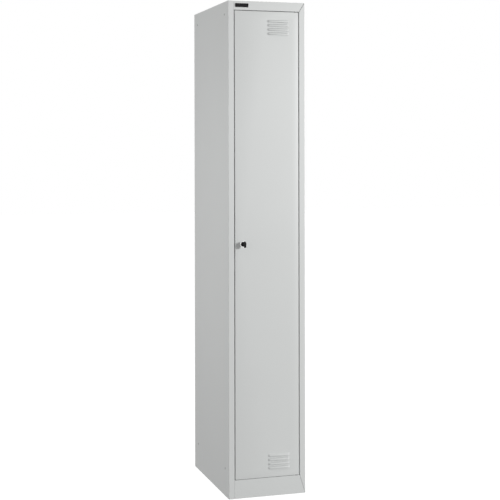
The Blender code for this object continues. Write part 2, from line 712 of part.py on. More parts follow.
def make_lock():
    """Cam lock: a ringed housing held by a nut, and a plug with its face, cam and screw."""
    door_back = SHEET + FIT
    bore = LOCK_PLUG_RADIUS + LOCK_PLUG_PLAY
    housing = [
        (RING_RADIUS - RING_CHAMFER, RING_REACH),
        (RING_RADIUS, RING_REACH - RING_CHAMFER),
        (RING_RADIUS, FIT),
        (HOUSING_RADIUS, FIT),
        (HOUSING_RADIUS, -HOUSING_END),
        (bore, -HOUSING_END),
        (bore, RING_REACH),
    ]
    turned("lock_housing", housing, CHROME, DOOR_AXIS, LOCK, FACING_FRONT, closed=True, sides=LOCK_SIDES)

    bm = bmesh.new()
    nut_middle = (0, door_back + NUT_THICK / 2, 0)
    add_cylinder(bm, nut_middle, (0, 1, 0), NUT_RADIUS, NUT_THICK, 6)
    nut = add_node("lock_nut", bm, ZINC, DOOR_AXIS, LOCK)
    bm = bmesh.new()
    add_cylinder(bm, nut_middle, (0, 1, 0), HOUSING_RADIUS + FIT, NUT_BORE_LENGTH, LOCK_SIDES)
    boolean(nut, "DIFFERENCE", bm)

    face_front = RING_REACH + FACE_PROUD
    face_back = face_front - FACE_THICK
    plug = [
        (0, face_back - FIT),
        (LOCK_PLUG_RADIUS, face_back - FIT),
        (LOCK_PLUG_RADIUS, -LOCK_PLUG_END),
        (0, -LOCK_PLUG_END),
    ]
    body = turned("lock_plug", plug, CHROME, LOCK_AXIS, LOCK, FACING_FRONT, sides=LOCK_SIDES)
    shank_end = CAM_FRONT + CAM_THICK + FIT
    bm = bmesh.new()
    half = SHANK / 2
    add_box(bm, (-half, -half, -shank_end), (half, half, -LOCK_PLUG_END + SHANK_ROOT))
    boolean(body, "UNION", bm)
    bm = bmesh.new()
    add_box(bm, *keyway(-KEY_DEPTH - FIT, BLADE_IN_BOW))
    add_cylinder(bm, (0, 0, -shank_end), (0, 0, 1), SCREW_BORE, SCREW_BORE_LENGTH, 16)
    boolean(body, "DIFFERENCE", bm)

    disc = [
        (0, face_front),
        (LOCK_PLUG_RADIUS - FACE_CHAMFER, face_front),
        (LOCK_PLUG_RADIUS, face_front - FACE_CHAMFER),
        (LOCK_PLUG_RADIUS, face_back),
        (0, face_back),
    ]
    face = turned("lock_face", disc, BLACK, LOCK_AXIS, LOCK, FACING_FRONT, sides=LOCK_SIDES)
    bm = bmesh.new()
    add_box(bm, *keyway(-BLADE_IN_BOW, BLADE_IN_BOW))
    boolean(face, "DIFFERENCE", bm)
    make_cam(shank_end)


def keyway(low, high):
    wide = KEY_THICK / 2 + KEY_PLAY
    tall = KEY_HEIGHT / 2 + KEY_PLAY
    return (-wide, -tall, low), (wide, tall, high)


def make_cam(shank_end):
    """The cam hangs down at rest, clear of the stile, and its screw holds it on the square shank."""
    middle = CAM_FRONT + CAM_THICK / 2
    bm = bmesh.new()
    half = CAM_WIDTH / 2
    add_box(bm, (-half, CAM_FRONT, -CAM_LENGTH), (half, CAM_FRONT + CAM_THICK, 0))
    cam = add_node("lock_cam", bm, ZINC, LOCK_AXIS, LOCK)
    bm = bmesh.new()
    add_cylinder(bm, (0, middle, 0), (0, 1, 0), half * 1.1, CAM_THICK, LOCK_SIDES)
    boolean(cam, "UNION", bm)
    bm = bmesh.new()
    square = SHANK / 2 + FIT
    add_box(bm, (-square, CAM_FRONT - CAM_THICK, -square), (square, CAM_FRONT + 2 * CAM_THICK, square))
    boolean(cam, "DIFFERENCE", bm)
    screw = [
        (0, -shank_end + SCREW_LENGTH),
        (SCREW_RADIUS, -shank_end + SCREW_LENGTH),
        (SCREW_RADIUS, -shank_end - FIT),
        (SCREW_HEAD_RADIUS, -shank_end - FIT),
        (SCREW_HEAD_RADIUS, -shank_end - SCREW_HEAD_THICK),
        (SCREW_CROWN_RADIUS, -shank_end - SCREW_HEAD_THICK - SCREW_CROWN),
        (0, -shank_end - SCREW_HEAD_THICK - SCREW_CROWN),
    ]
    turned("cam_screw", screw, ZINC, LOCK_AXIS, LOCK, FACING_FRONT)


def make_key():
    """A flat blade in the keyway and a black bow that stands out of the lock, both upright at rest."""
    bow_near = KEY_REACH - BOW_LENGTH
    bm = bmesh.new()
    low = (-KEY_THICK / 2, -bow_near - BLADE_IN_BOW, -KEY_HEIGHT / 2)
    add_box(bm, low, (KEY_THICK / 2, KEY_DEPTH, KEY_HEIGHT / 2))
    blade = add_node("key_blade", bm, CHROME, LOCK_AXIS, LOCK)
    bm = bmesh.new()
    for k in range(KEY_CUTS):
        y = KEY_DEPTH - KEY_CUT_FIRST - KEY_CUT_PITCH * k
        cut = KEY_CUT_DEPTH + KEY_CUT_STEP * (k % 2)
        add_cylinder(bm, (0, y, -KEY_HEIGHT / 2), (1, 0, 0), cut, 2 * KEY_THICK, 4)
    boolean(blade, "DIFFERENCE", bm)

    bm = bmesh.new()
    low = (-BOW_THICK / 2, -KEY_REACH, -BOW_HEIGHT / 2)
    add_box(bm, low, (BOW_THICK / 2, -bow_near, BOW_HEIGHT / 2))
    corners = [edge for edge in bm.edges if abs(edge.verts[0].co.x - edge.verts[1].co.x) > BOW_THICK / 2]
    bmesh.ops.bevel(bm, geom=corners, offset=BOW_CORNER, segments=6, profile=0.5, affect="EDGES")
    bow = add_node("key_bow", bm, BLACK, LOCK_AXIS, LOCK)
    bm = bmesh.new()
    wide, tall = KEY_THICK / 2 + FIT, KEY_HEIGHT / 2 + FIT
    add_box(bm, (-wide, -bow_near - BLADE_IN_BOW - FIT, -tall), (wide, 0, tall))
    hole_y = -KEY_REACH + BOW_HOLE_FROM_END
    add_cylinder(bm, (0, hole_y, 0), (1, 0, 0), BOW_HOLE_RADIUS, 2 * BOW_THICK, 16)
    boolean(bow, "DIFFERENCE", bm)


def make_label():
    """A black holder on the header, in line with the door's edge, with a blank card in its pocket."""
    low = Vector((LABEL_LEFT, -FIT - LABEL_THICK, LABEL_Z - LABEL_HEIGHT / 2))
    high = Vector((LABEL_LEFT + LABEL_WIDTH, -FIT, LABEL_Z + LABEL_HEIGHT / 2))
    rim = Vector((LABEL_RIM, 0, LABEL_RIM))
    pocket_back = Vector((0, LABEL_POCKET - LABEL_THICK, 0))
    bm = bmesh.new()
    add_box(bm, low, high)
    holder = add_node("label_holder", bm, BLACK)
    bm = bmesh.new()
    add_box(bm, low + rim - Vector((0, LABEL_POCKET, 0)), high - rim + pocket_back)
    boolean(holder, "DIFFERENCE", bm)
    bm = bmesh.new()
    play = Vector((FIT, 0, FIT))
    card_low = low + rim + play + Vector((0, CARD_SET_BACK, 0))
    add_box(bm, card_low, high - rim - play + pocket_back - Vector((0, FIT, 0)))
    add_node("label_card", bm, DARK_CARD)


def make_hole_plugs():
    """Caps pushed from inside into the eight joining holes, so that a neighbour can stand flush."""
    head = -SHEET - FIT
    profile = [
        (0, -PLUG_SET_BACK),
        (JOIN_HOLE_RADIUS - FIT, -PLUG_SET_BACK),
        (JOIN_HOLE_RADIUS - FIT, head),
        (PLUG_HEAD_RADIUS, head),
        (PLUG_CROWN_RADIUS, head - PLUG_HEAD_THICK),
        (0, head - PLUG_HEAD_THICK),
    ]
    for side_name, side in (("left", -1), ("right", 1)):
        for end_name, y in (("front", JOIN_HOLE_Y), ("rear", DEPTH - JOIN_HOLE_Y)):
            for level_name, z in (("top", HEIGHT - JOIN_HOLE_TOP), ("bottom", JOIN_HOLE_BOTTOM)):
                name = f"hole_plug_{side_name}_{end_name}_{level_name}"
                at = (side * HALF, y, z)
                turned(name, profile, GREY, CABINET, at, (0, side * math.pi / 2, 0))


def make_buffers():
    """Rubber buffers on the stop lip beside the lock, which the closed door rests against."""
    front = -(DOOR_DEPTH + 2 * FIT)
    back = -(RETURN_DEPTH - FIT)
    profile = [
        (0, front),
        (BUFFER_CROWN_RADIUS, front),
        (BUFFER_RADIUS, front - BUFFER_CROWN),
        (BUFFER_RADIUS, back),
        (0, back),
    ]
    x = -(LIP_X + DOOR_X) / 2
    for number, z in enumerate(BUFFER_Z, 1):
        turned(f"door_buffer_{number}", profile, RUBBER, CABINET, (x, 0, z), FACING_FRONT)


make_side_panels()
make_top_panel()
make_base_panel()
make_back_panel()
make_shelf()
make_coat_rail()
make_hook("coat_hook_left", -HOOK_X)
make_hook("coat_hook_right", HOOK_X)
make_door_panel()
make_stiffener()
make_hinge("bottom", OPENING_LOW, 1)
make_hinge("top", OPENING_HIGH, -1)
make_lock()
make_key()
make_label()
make_hole_plugs()
make_buffers()
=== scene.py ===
# Locker cabinet: finishes, light, camera and the finer pieces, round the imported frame.

import json
import math

import bmesh
import bpy
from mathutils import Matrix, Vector


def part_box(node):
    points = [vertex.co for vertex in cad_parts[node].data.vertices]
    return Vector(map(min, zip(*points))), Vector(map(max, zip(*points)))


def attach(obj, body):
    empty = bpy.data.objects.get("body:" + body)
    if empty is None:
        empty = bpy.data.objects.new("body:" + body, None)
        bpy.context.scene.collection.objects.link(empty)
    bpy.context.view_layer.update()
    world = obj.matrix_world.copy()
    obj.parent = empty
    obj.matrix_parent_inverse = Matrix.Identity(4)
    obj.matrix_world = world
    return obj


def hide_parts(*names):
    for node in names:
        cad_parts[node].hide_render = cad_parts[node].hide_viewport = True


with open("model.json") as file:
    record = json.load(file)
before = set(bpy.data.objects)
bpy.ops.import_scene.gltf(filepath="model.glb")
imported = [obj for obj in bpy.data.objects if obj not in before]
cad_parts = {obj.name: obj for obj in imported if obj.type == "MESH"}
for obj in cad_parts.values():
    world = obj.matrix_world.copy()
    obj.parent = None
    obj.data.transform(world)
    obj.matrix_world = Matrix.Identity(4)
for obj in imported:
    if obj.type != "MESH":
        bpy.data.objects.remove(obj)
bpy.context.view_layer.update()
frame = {"nodes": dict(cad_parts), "record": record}
slotOfNode = {part["node"]: part["material_slot"] for part in frame["record"]["subparts"]}
bodyOfNode = {node: body for body, nodes in frame["record"]["behaviour"]["bodies"].items() for node in nodes}
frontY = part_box("side_panel_left")[0].y          # plane of the front face


class Wire:
    # One shader value. Arithmetic on it adds Math nodes to its sheet.
    def __init__(self, sheet, socket):
        self.sheet = sheet
        self.socket = socket

    def __add__(self, other):
        return self.sheet.maths("ADD", self, other)

    def __radd__(self, other):
        return self.sheet.maths("ADD", other, self)

    def __sub__(self, other):
        return self.sheet.maths("SUBTRACT", self, other)

    def __mul__(self, other):
        return self.sheet.maths("MULTIPLY", self, other)

    def __rmul__(self, other):
        return self.sheet.maths("MULTIPLY", other, self)

    def __pow__(self, other):
        return self.sheet.maths("POWER", self, other)

    def __gt__(self, other):
        return self.sheet.maths("GREATER_THAN", self, other)


class NodeSheet:
    # The nodes of one material or world.
    def __init__(self, tree):
        self.tree = tree

    def node(self, kind, settings=None, out=0, **values):
        made = self.tree.nodes.new(kind)
        for setting, value in (settings or {}).items():
            if setting == "stops":
                self.fillRamp(made.color_ramp, value)
            else:
                setattr(made, setting, value)
        for socket, value in values.items():
            byNumber = socket[0] == "i" and socket[1:].isdigit()
            self.feed(made.inputs[int(socket[1:]) if byNumber else socket.replace("_", " ")], value)
        return Wire(self, made.outputs[out])

    def fillRamp(self, ramp, stops):
        while len(ramp.elements) < len(stops):
            ramp.elements.new(0.5)
        for element, (place, tone) in zip(ramp.elements, stops):
            element.position = place
            element.color = (tone, tone, tone, 1)

    def feed(self, socket, value):
        if isinstance(value, Wire):
            self.tree.links.new(value.socket, socket)
        elif isinstance(value, tuple) and socket.type == "RGBA":
            socket.default_value = (*value, 1)
        else:
            socket.default_value = value

    def maths(self, operation, first, second=0.0):
        return self.node("ShaderNodeMath", {"operation": operation}, i0=first, i1=second)

    def ramp(self, value, stops):
        return self.node("ShaderNodeValToRGB", {"stops": stops}, Fac=value)

    def split(self, vector):
        made = self.node("ShaderNodeSeparateXYZ", Vector=vector).socket.node
        return [Wire(self, output) for output in made.outputs]


class Finish(NodeSheet):
    # A material on the piece's own coordinates, in metres.
    def __init__(self, name, **constants):
        self.material = bpy.data.materials.new(name)
        self.material.use_nodes = True
        super().__init__(self.material.node_tree)
        self.shader = self.tree.nodes["Principled BSDF"]
        for socket, value in constants.items():
            self.set(socket.replace("_", " "), value)
        self.place = self.node("ShaderNodeTexCoord", out="Object")

    def set(self, socket, value):
        self.feed(self.shader.inputs[socket], value)

    def noise(self, scale, detail=2.0, rough=0.5, place=None):
        settings = {"Vector": place or self.place, "Scale": scale, "Detail": detail, "Roughness": rough}
        return self.node("ShaderNodeTexNoise", **settings)

    def blend(self, share, first, second):
        return self.node("ShaderNodeMix", {"data_type": "RGBA"}, out=2, i0=share, i6=first, i7=second)

    def stretched(self, scale):
        return self.node("ShaderNodeMapping", Vector=self.place, Scale=scale)

    def bump(self, height, depth):
        self.set("Normal", self.node("ShaderNodeBump", Height=height, Distance=depth))


studio = {
    "cameraPlace": (-1.3875, -4.5049, 1.2916),
    "cameraTurn": 17.18,       # degrees to the right of straight ahead
    "cameraRoll": 0.108,
    "lens": 86.45,
    "sensor": 36,
    "shiftDown": 0.198,
    "viewLength": 60,
    "aimAt": (0, 0, 0.95),
    "lamps": {
        "keyLamp": {"watts": 149, "place": (2.9, -4.1, 1.76), "size": 0.88},
        "fillLamp": {"watts": 5.5, "place": (-1.5, -0.1, 1.28), "size": 0.9},
    },
    "glow": 0.41,
    "glowStops": [(0.0, 0.70), (0.45, 0.85), (0.62, 1.0), (1.0, 1.0)],   # from straight down to straight up
}


def addLamp(name, watts, place, size):
    bpy.ops.object.light_add(type="AREA", location=place)
    lamp = bpy.context.object
    lamp.name = name
    lamp.data.energy = watts
    lamp.data.shape = "DISK"
    lamp.data.size = size
    lamp.visible_camera = False
    lamp.rotation_euler = (Vector(studio["aimAt"]) - Vector(place)).to_track_quat("-Z", "Y").to_euler()


def buildCamera():
    bpy.ops.object.camera_add(location=studio["cameraPlace"])
    camera = bpy.context.object
    turn = (90, studio["cameraRoll"], -studio["cameraTurn"])
    camera.rotation_euler = [math.radians(angle) for angle in turn]
    camera.data.lens = studio["lens"]
    camera.data.sensor_width = studio["sensor"]
    camera.data.shift_y = -studio["shiftDown"]
    camera.data.clip_end = studio["viewLength"]
    bpy.context.scene.camera = camera


def buildWorld():
    # Soft light comes from all round, less from below. The backdrop and what bright metal mirrors are white.
    world = bpy.data.worlds.new("paleStudio")
    bpy.context.scene.world = world
    world.use_nodes = True
    sheet = NodeSheet(world.node_tree)
    sheet.tree.nodes.clear()
    upward = sheet.split(sheet.node("ShaderNodeTexCoord", out="Generated"))[2]
    tone = sheet.ramp(upward * 0.5 + 0.5, studio["glowStops"])
    light = sheet.node("ShaderNodeBackground", Color=tone, Strength=studio["glow"])
    white = sheet.node("ShaderNodeBackground", Color=(1.0, 1.0, 1.0), Strength=1.0)
    rays = sheet.node("ShaderNodeLightPath", out="Is Camera Ray")
    mirrored = Wire(sheet, rays.socket.node.outputs["Is Glossy Ray"])
    seen = sheet.maths("MAXIMUM", rays, mirrored)
    mixed = sheet.node("ShaderNodeMixShader", i0=seen, i1=light, i2=white)
    output = sheet.tree.nodes.new("ShaderNodeOutputWorld")
    sheet.feed(output.inputs["Surface"], mixed)


bpy.ops.object.select_all(action="DESELECT")
buildCamera()
for lampName, lampSpec in studio["lamps"].items():
    addLamp(lampName, **lampSpec)
buildWorld()
bpy.context.scene.view_settings.view_transform = "Standard"
print("studio: camera and", len(studio["lamps"]), "lamps")


paint = {
    "grey": (0.650, 0.664, 0.657),
    "pale": (0.676, 0.691, 0.684),
    "shadeAndDust": (0.560, 0.570, 0.560),
    "peelScale": 330,          # bumps a metre in the powder's skin
    "peelDepth": 0.00005,
    "shadeAndDustTop": 0.75,           # height that the darkening towards the floor reaches, painted shade with some settled dust, and how much of it shows at the floor
    "shadeAndDustShare": 0.10,
    "weldDepth": 0.00022,
    "weldSize": 0.0028,
    "weldPitch": 0.110,
    "weldRow": (0, 0.1415),    # middle of the back, and how far each row of spot welds is from it
    "weldBehind": 0.264,       # the welds show only behind this depth
}


def powderCoat(name, welded=False):
    # A fine orange-peel skin, darker low down with painted shade and some settled dust, and, on the carcass,
    # two rows of spot welds.
    finish = Finish(name, Metallic=0.0, Specular_IOR_Level=0.45)
    broad = finish.noise(1.6, 3)
    speck = finish.noise(1500, 2, 0.6)
    peel = finish.noise(paint["peelScale"], 2, 0.45)
    body = finish.blend(finish.ramp(broad, [(0.35, 0.0), (0.68, 1.0)]), paint["grey"], paint["pale"])
    body = finish.blend(finish.ramp(speck, [(0.62, 0.0), (0.80, 0.08)]), body, paint["shadeAndDust"])
    x, y, z = finish.split(finish.place)
    # Painted shade: the paint darkens towards the floor, where less light reaches, mixed with some settled
    # dust.
    low = finish.ramp(z * (1 / paint["shadeAndDustTop"]), [(0.0, 1.0), (1.0, 0.0)])
    body = finish.blend(low * (0.8 + 0.4 * broad) * paint["shadeAndDustShare"], body, paint["shadeAndDust"])
    height = peel
    if welded:
        middle, reach = paint["weldRow"]
        across = finish.maths("ABSOLUTE", x - middle) - reach
        along = finish.maths("PINGPONG", z, paint["weldPitch"] / 2)
        distance = (across * across + along * along) ** 0.5
        spot = finish.ramp(distance * (1 / (2 * paint["weldSize"])), [(0.0, 1.0), (0.36, 0.9), (0.50, 0.0)])
        spot = spot * (y > paint["weldBehind"])
        height = peel - spot * (paint["weldDepth"] / paint["peelDepth"])
        body = finish.blend(spot * 0.35, body, paint["shadeAndDust"])
    finish.set("Base Color", body)
    finish.set("Roughness", 0.36 + 0.10 * peel + 0.05 * broad)
    finish.bump(height, paint["peelDepth"])
    return finish.material


def zincPlate():
    finish = Finish("zincPlate", Metallic=1.0)
    spangle = finish.node("ShaderNodeTexVoronoi", Vector=finish.place, Scale=190.0)
    fine = finish.noise(900, 3)
    finish.set("Base Color", finish.blend(spangle, (0.56, 0.57, 0.58), (0.70, 0.69, 0.66)))
    finish.set("Roughness", 0.30 + 0.16 * fine)
    finish.bump(fine, 0.00002)
    return finish.material


def brightMetal():
    finish = Finish("brightMetal", Metallic=1.0)
    scratch = finish.noise(60, 4, 0.7, finish.stretched((1, 1, 14)))
    finish.set("Base Color", finish.blend(scratch, (0.84, 0.85, 0.86), (0.93, 0.93, 0.92)))
    finish.set("Roughness", 0.10 + 0.12 * scratch)
    return finish.material


def blackPlastic():
    finish = Finish("blackPlastic", Metallic=0.0, Specular_IOR_Level=0.14)
    grain = finish.noise(2200, 3, 0.6)
    broad = finish.noise(90, 2)
    finish.set("Base Color", finish.blend(broad, (0.0025, 0.0025, 0.003), (0.007, 0.007, 0.008)))
    finish.set("Roughness", 0.34 + 0.16 * grain)
    finish.bump(grain, 0.00003)
    return finish.material


def greyPlastic():
    finish = Finish("greyPlastic", Metallic=0.0, Specular_IOR_Level=0.3)
    grain = finish.noise(1900, 3, 0.6)
    broad = finish.noise(70, 2)
    finish.set("Base Color", finish.blend(broad, (0.300, 0.306, 0.302), (0.345, 0.351, 0.347)))
    finish.set("Roughness", 0.42 + 0.14 * grain)
    finish.bump(grain, 0.00003)
    return finish.material


def darkCard():
    finish = Finish("darkCard", Metallic=0.0, Specular_IOR_Level=0.12)
    fibre = finish.noise(700, 4, 0.7, finish.stretched((1, 1, 6)))
    finish.set("Base Color", finish.blend(fibre, (0.005, 0.005, 0.006), (0.014, 0.014, 0.015)))
    finish.set("Roughness", 0.55 + 0.25 * fibre)
    finish.bump(fibre, 0.00002)
    return finish.material


def blackRubber():
    finish = Finish("blackRubber", Metallic=0.0)
    bloom = finish.noise(240, 3)
    finish.set("Base Color", finish.blend(bloom, (0.013, 0.013, 0.013), (0.040, 0.039, 0.038)))
    finish.set("Roughness", 0.68 + 0.2 * bloom)
    finish.bump(bloom, 0.00004)
    return finish.material


def paleFloor():
    # Mostly its own glow, so that only a faint shadow shows under the cabinet.
    finish = Finish("paleFloor", Metallic=0.0, Specular_IOR_Level=0.0, Emission_Strength=0.93)
    finish.set("Emission Color", (1.0, 1.0, 1.0))
    cloud = finish.noise(0.7, 2)
    finish.set("Base Color", finish.blend(cloud, (0.27, 0.27, 0.27), (0.29, 0.29, 0.29)))
    finish.set("Roughness", 0.8 + 0.1 * cloud)
    return finish.material


finishes = {
    "carcass_paint": powderCoat("carcassPaint", welded=True),
    "door_paint": powderCoat("doorPaint"),
    "zinc_plate": zincPlate(),
    "bright_metal": brightMetal(),
    "black_plastic": blackPlastic(),
    "grey_plastic": greyPlastic(),
    "dark_card": darkCard(),
    "black_rubber": blackRubber(),
}
for nodeName, nodeObject in frame["nodes"].items():
    nodeObject.data.materials.clear()
    nodeObject.data.materials.append(finishes[slotOfNode[nodeName]])
print("finishes:", len(finishes), "on", len(frame["nodes"]), "frame nodes")


limits = {
    "samePlace": 0.000001,
    "merge": 0.000002,
    "onRim": 0.00001,
    "edgeRun": 0.001,          # an edge runs along an axis when it covers more than this
    "facing": 0.9,             # share of a normal that makes its face look along an axis
    "foldAngle": 1.2,          # radians
    "seed": 0.001,             # size of the plane that a turned profile starts from
}


def clearSelection():
    if bpy.context.object and bpy.context.object.mode == "EDIT":
        bpy.ops.object.mode_set(mode="OBJECT")
    bpy.ops.object.select_all(action="DESELECT")


def makeActive(piece):
    clearSelection()
    piece.select_set(True)
    bpy.context.view_layer.objects.active = piece


def goEdit(piece):
    makeActive(piece)
    bpy.ops.object.mode_set(mode="EDIT")


def goObject():
    bpy.ops.object.mode_set(mode="OBJECT")


def pick(piece, kind, test):
    # In edit mode, selects the vertices, edges or faces that pass the test, and nothing else.
    modes = {"verts": "VERT", "edges": "EDGE", "faces": "FACE"}
    bpy.ops.mesh.select_mode(type=modes[kind])
    bpy.ops.mesh.select_all(action="DESELECT")
    mesh = bmesh.from_edit_mesh(piece.data)
    mesh.normal_update()
    for part in getattr(mesh, kind):
        if test(part):
            part.select_set(True)
    mesh.select_flush_mode()
    bmesh.update_edit_mesh(piece.data)


def runsAlong(axis):
    # A test for edges that run along x, y or z.
    return lambda edge: abs(getattr(edge.verts[0].co - edge.verts[1].co, axis)) > limits["edgeRun"]


def looksAlong(axis, side):
    # A test for faces that look along an axis, towards side 1 or -1.
    return lambda face: getattr(face.normal, axis) * side > limits["facing"]


def applyPlace(piece):
    makeActive(piece)
    bpy.ops.object.transform_apply(location=True, rotation=True, scale=True)


def block(name, low, high):
    low, high = Vector(low), Vector(high)
    clearSelection()
    bpy.ops.mesh.primitive_cube_add(size=1, location=(low + high) / 2)
    piece = bpy.context.object
    piece.name = name
    piece.scale = high - low
    applyPlace(piece)
    return piece


def rod(name, middle, axis, radius, length, sides=48):
    turn = Vector((0, 0, 1)).rotation_difference(Vector(axis)).to_euler()
    clearSelection()
    bpy.ops.mesh.primitive_cylinder_add(
        vertices=sides, radius=radius, depth=length, location=middle, rotation=turn
    )
    piece = bpy.context.object
    piece.name = name
    applyPlace(piece)
    return piece


def useModifier(piece, kind, **settings):
    makeActive(piece)
    modifier = piece.modifiers.new(kind.lower(), kind)
    for setting, value in settings.items():
        setattr(modifier, setting, value)
    bpy.ops.object.modifier_apply(modifier=modifier.name)


def carve(piece, cutter, operation="DIFFERENCE"):
    useModifier(piece, "BOOLEAN", operation=operation, object=cutter)
    bpy.data.objects.remove(cutter)


def soften(piece, width, segments=2, angle=35):
    useModifier(
        piece, "BEVEL", width=width, segments=segments, limit_method="ANGLE", angle_limit=math.radians(angle)
    )


def smooth(piece, angle=32):
    makeActive(piece)
    bpy.ops.object.shade_smooth_by_angle(angle=math.radians(angle))


def tidyMesh(piece):
    goEdit(piece)
    bpy.ops.mesh.select_all(action="SELECT")
    bpy.ops.mesh.remove_doubles(threshold=limits["merge"])
    bpy.ops.mesh.normals_make_consistent(inside=False)
    goObject()


def roundedProfile(corners, closed, steps=4):
    # Corners are (radius, along, rounding); each is rounded off by that length on both sides.
    points = []
    for k, (radius, along, rounding) in enumerate(corners):
        corner = Vector((radius, along))
        if not rounding:
            points.append(corner)
            continue
        before = Vector(corners[k - 1][:2]) - corner
        after = Vector(corners[(k + 1) % len(corners)][:2]) - corner
        start = corner + before.normalized() * rounding
        end = corner + after.normalized() * rounding
        for step in range(steps + 1):
            share = step / steps
            points.append(start * (1 - share) ** 2 + corner * 2 * share * (1 - share) + end * share ** 2)
    return points + points[:1] if closed else points


def turnPiece(name, corners, middle, axis, closed=False, steps=64):
    # A turned solid: the profile is drawn as one chain from a single point, then spun round the axis.
    middle, axis = Vector(middle), Vector(axis)
    side = axis.orthogonal().normalized()
    points = [middle + side * point.x + axis * point.y for point in roundedProfile(corners, closed)]
    clearSelection()
    bpy.ops.mesh.primitive_plane_add(size=limits["seed"], location=points[0])
    piece = bpy.context.object
    piece.name = name
    applyPlace(piece)
    goEdit(piece)
    bpy.ops.mesh.select_mode(type="VERT")
    bpy.ops.mesh.select_all(action="SELECT")
    bpy.ops.mesh.merge(type="CENTER")
    for here, there in zip(points, points[1:]):
        bpy.ops.mesh.extrude_region_move(TRANSFORM_OT_translate={"value": there - here})
    bpy.ops.mesh.select_all(action="SELECT")
    bpy.ops.mesh.spin(steps=steps, angle=math.tau, center=middle, axis=axis)
    goObject()
    tidyMesh(piece)
    return piece


def copyPiece(piece, name, move):
    other = piece.copy()
    other.data = piece.data.copy()
    other.name = name
    bpy.context.scene.collection.objects.link(other)
    other.location = move
    applyPlace(other)
    return other


def finishPiece(piece, *nodes, body=None, slot=None):
    # Gives a piece its finish and its body, and says which nodes it stands for.
    slot = slot or slotOfNode[nodes[0]]
    piece.data.materials.clear()
    piece.data.materials.append(finishes[slot])
    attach(piece, body or bodyOfNode[nodes[0]])
    if nodes:
        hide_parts(*nodes)


def boxMiddle(node):
    low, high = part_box(node)
    return (low + high) / 2


doorSheet = {
    "thick": 0.0008,
    "fold": 0.0013,            # outer radius of the folds
    "foldSteps": 4,
    "lip": 0.012,
    "louvreLeft": 0.001,
    "louvreRight": 0.088,
    "louvreReach": 0.0050,
    "louvreHeight": 0.0090,
    "louvreEnd": 0.0080,
    "louvreFull": 0.55,        # share of its height at which a louvre is fully out
    "louvrePitch": 0.0155,
    "louvreCount": 4,
    "groupFromEnd": 0.0590,
    "slitLift": 0.0002,        # how far a louvre's lower edge rises, and how suddenly
    "slitPower": 6,
    "endSteps": 9,
    "riseSteps": 9,
    "margin": 0.0008,          # a thin strip of flat sheet round every louvre
    "aroundGroup": 0.012,
    "lockHole": 0.0107,
    "bushHole": 0.0041,
    "drill": 0.006,
}


def sliceFront(piece, low, high, axis, values):
    # Cuts the faces between two (x, z) corners at each value of x or of z.
    normal = (1, 0, 0) if axis == "x" else (0, 0, 1)

    def inside(face):
        middle = face.calc_center_median()
        return low[0] < middle.x < high[0] and low[1] < middle.z < high[1]

    for value in values:
        pick(piece, "faces", inside)
        point = (value, frontY, 0) if axis == "x" else (0, frontY, value)
        bpy.ops.mesh.bisect(plane_co=point, plane_no=normal)


def pressLouvre(piece, level):
    # The sheet is slit along the bottom of the louvre, and pushed out above the slit.
    top = level + doorSheet["louvreHeight"] / 2
    bottom = level - doorSheet["louvreHeight"] / 2
    left, right, end = doorSheet["louvreLeft"], doorSheet["louvreRight"], doorSheet["louvreEnd"]

    def onSlit(edge):
        atBottom = all(abs(vert.co.z - bottom) < limits["samePlace"] for vert in edge.verts)
        return atBottom and left < (edge.verts[0].co.x + edge.verts[1].co.x) / 2 < right

    def inLouvre(face):
        middle = face.calc_center_median()
        return left < middle.x < right and bottom < middle.z < top

    pick(piece, "edges", onSlit)
    bpy.ops.mesh.edge_split(type="EDGE")
    mesh = bmesh.from_edit_mesh(piece.data)
    for vert in {vert for face in mesh.faces if inLouvre(face) for vert in face.verts}:
        fromEnd = max(0.0, min(vert.co.x - left, right - vert.co.x, end) / end)
        down = min(1.0, max(0.0, (top - vert.co.z) / doorSheet["louvreHeight"]))
        ends = (1 - math.cos(math.pi * fromEnd)) / 2
        rise = math.sin(math.pi / 2 * min(1.0, down / doorSheet["louvreFull"]))
        vert.co.y -= doorSheet["louvreReach"] * ends * rise
        vert.co.z += doorSheet["slitLift"] * ends * down ** doorSheet["slitPower"]
    bmesh.update_edit_mesh(piece.data)


def cutLouvreGrid(piece, low, high, levels):
    # Crossing cuts only where the louvres are, so that the rest of the sheet stays plain.
    around = doorSheet["aroundGroup"]
    groupLow = (doorSheet["louvreLeft"] - around, levels[0] - around)
    groupHigh = (doorSheet["louvreRight"] + around, levels[-1] + around)
    steps, end, margin = doorSheet["endSteps"], doorSheet["louvreEnd"], doorSheet["margin"]
    ends = [end * (1 - math.cos(math.pi / 2 * k / steps)) for k in range(steps + 1)]
    columns = [doorSheet["louvreLeft"] + inset for inset in [-margin] + ends]
    columns += [doorSheet["louvreRight"] - inset for inset in [-margin] + ends]
    sliceFront(piece, (low.x, low.z), (high.x, high.z), "z", (groupLow[1], groupHigh[1]))
    sliceFront(piece, (low.x, groupLow[1]), (high.x, groupHigh[1]), "x", (groupLow[0], groupHigh[0]))
    sliceFront(piece, groupLow, groupHigh, "x", columns)
    for level in levels:
        start = level - doorSheet["louvreHeight"] / 2
        step = doorSheet["louvreHeight"] / doorSheet["riseSteps"]
        rows = [start + step * k for k in range(doorSheet["riseSteps"] + 1)]
        sliceFront(piece, groupLow, groupHigh, "z", [rows[0] - margin, *rows, rows[-1] + margin])


